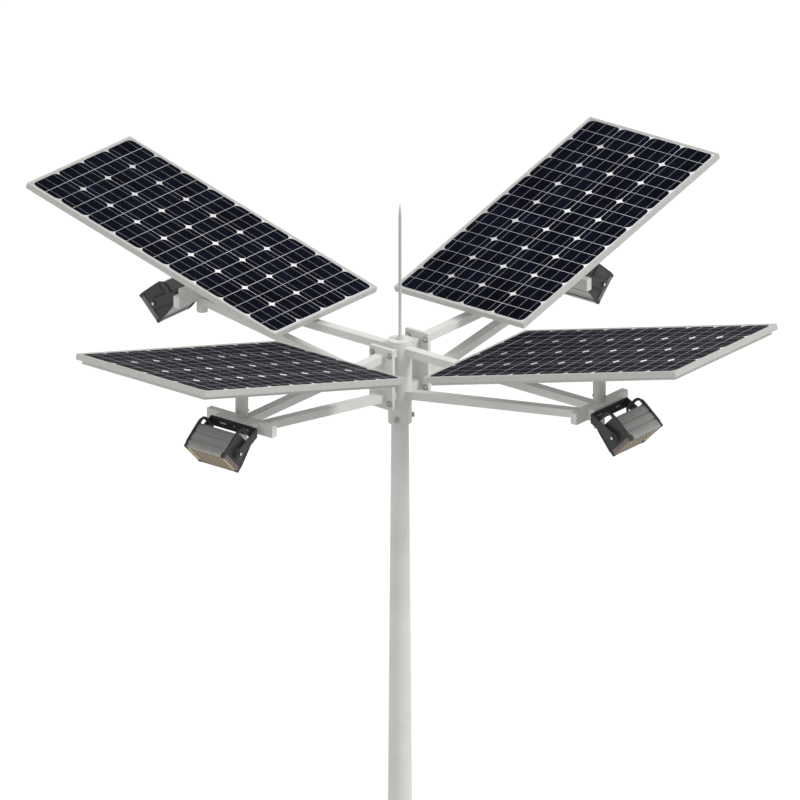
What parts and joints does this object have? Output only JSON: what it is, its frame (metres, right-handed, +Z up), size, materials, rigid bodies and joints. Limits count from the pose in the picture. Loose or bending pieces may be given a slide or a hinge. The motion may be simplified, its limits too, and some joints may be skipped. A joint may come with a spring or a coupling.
{
  "type": "solar mast light",
  "caption": "Tapered steel mast whose hub carries radial arms with tilted solar panels above them, tilting floodlights at their ends, and a lightning rod on top.",
  "frame": {"origin": "centre of the base flange's underside, on the foundation", "axes": "+Z up the mast; +X along the right-hand welded arm, +Y along the back bolted arm, -X and -Y along the left and front arms"},
  "size_m": [3.3672, 3.3672, 6.6],
  "materials": {
    "mast_paint": "satin",
    "arm_paint": "satin",
    "frame_aluminium": "satin anodised",
    "solar_laminate": "gloss",
    "black_paint": "satin",
    "lamp_aluminium": "satin anodised",
    "light_module": "satin",
    "zinc": "zinc plated"
  },
  "bodies": {
    "mast": {"base_flange": "mast_paint", "base_gussets": "mast_paint", "mast_tube": "mast_paint", "service_cover": "mast_paint", "hub_sleeve": "mast_paint", "hub_cap": "mast_paint", "hub_set_screws": "zinc", "lightning_rod": "mast_paint", "back_hub_stub": "arm_paint", "front_hub_stub": "arm_paint", "right_beam": "arm_paint", "right_strut": "arm_paint", "right_crossbar": "arm_paint", "right_panel_tray": "arm_paint", "right_panel_frame": "frame_aluminium", "right_panel_laminate": "solar_laminate", "right_lamp_bracket": "black_paint", "back_beam": "arm_paint", "back_strut": "arm_paint", "back_crossbar": "arm_paint", "back_panel_tray": "arm_paint", "back_panel_frame": "frame_aluminium", "back_panel_laminate": "solar_laminate", "back_lamp_bracket": "black_paint", "left_beam": "arm_paint", "left_strut": "arm_paint", "left_crossbar": "arm_paint", "left_panel_tray": "arm_paint", "left_panel_frame": "frame_aluminium", "left_panel_laminate": "solar_laminate", "left_lamp_bracket": "black_paint", "front_beam": "arm_paint", "front_strut": "arm_paint", "front_crossbar": "arm_paint", "front_panel_tray": "arm_paint", "front_panel_frame": "frame_aluminium", "front_panel_laminate": "solar_laminate", "front_lamp_bracket": "black_paint"},
    "right_lamp": {"right_lamp_housing": "lamp_aluminium", "right_lamp_end_plates": "black_paint", "right_lamp_light_module": "light_module"},
    "back_lamp": {"back_lamp_housing": "lamp_aluminium", "back_lamp_end_plates": "black_paint", "back_lamp_light_module": "light_module"},
    "left_lamp": {"left_lamp_housing": "lamp_aluminium", "left_lamp_end_plates": "black_paint", "left_lamp_light_module": "light_module"},
    "front_lamp": {"front_lamp_housing": "lamp_aluminium", "front_lamp_end_plates": "black_paint", "front_lamp_light_module": "light_module"}
  },
  "joints": [
    {"name": "right_lamp_tilt", "type": "hinge", "parent": "mast", "child": "right_lamp", "pos_m": [1.19, 0, 5.899], "axis": [0, -1, 0], "range_deg": [-45, 45]},
    {"name": "back_lamp_tilt", "type": "hinge", "parent": "mast", "child": "back_lamp", "pos_m": [0, 1.19, 5.899], "axis": [1, 0, 0], "range_deg": [-45, 45]},
    {"name": "left_lamp_tilt", "type": "hinge", "parent": "mast", "child": "left_lamp", "pos_m": [-1.19, 0, 5.899], "axis": [0, 1, 0], "range_deg": [-45, 45]},
    {"name": "front_lamp_tilt", "type": "hinge", "parent": "mast", "child": "front_lamp", "pos_m": [0, -1.19, 5.899], "axis": [-1, 0, 0], "range_deg": [-45, 45]}
  ]
}
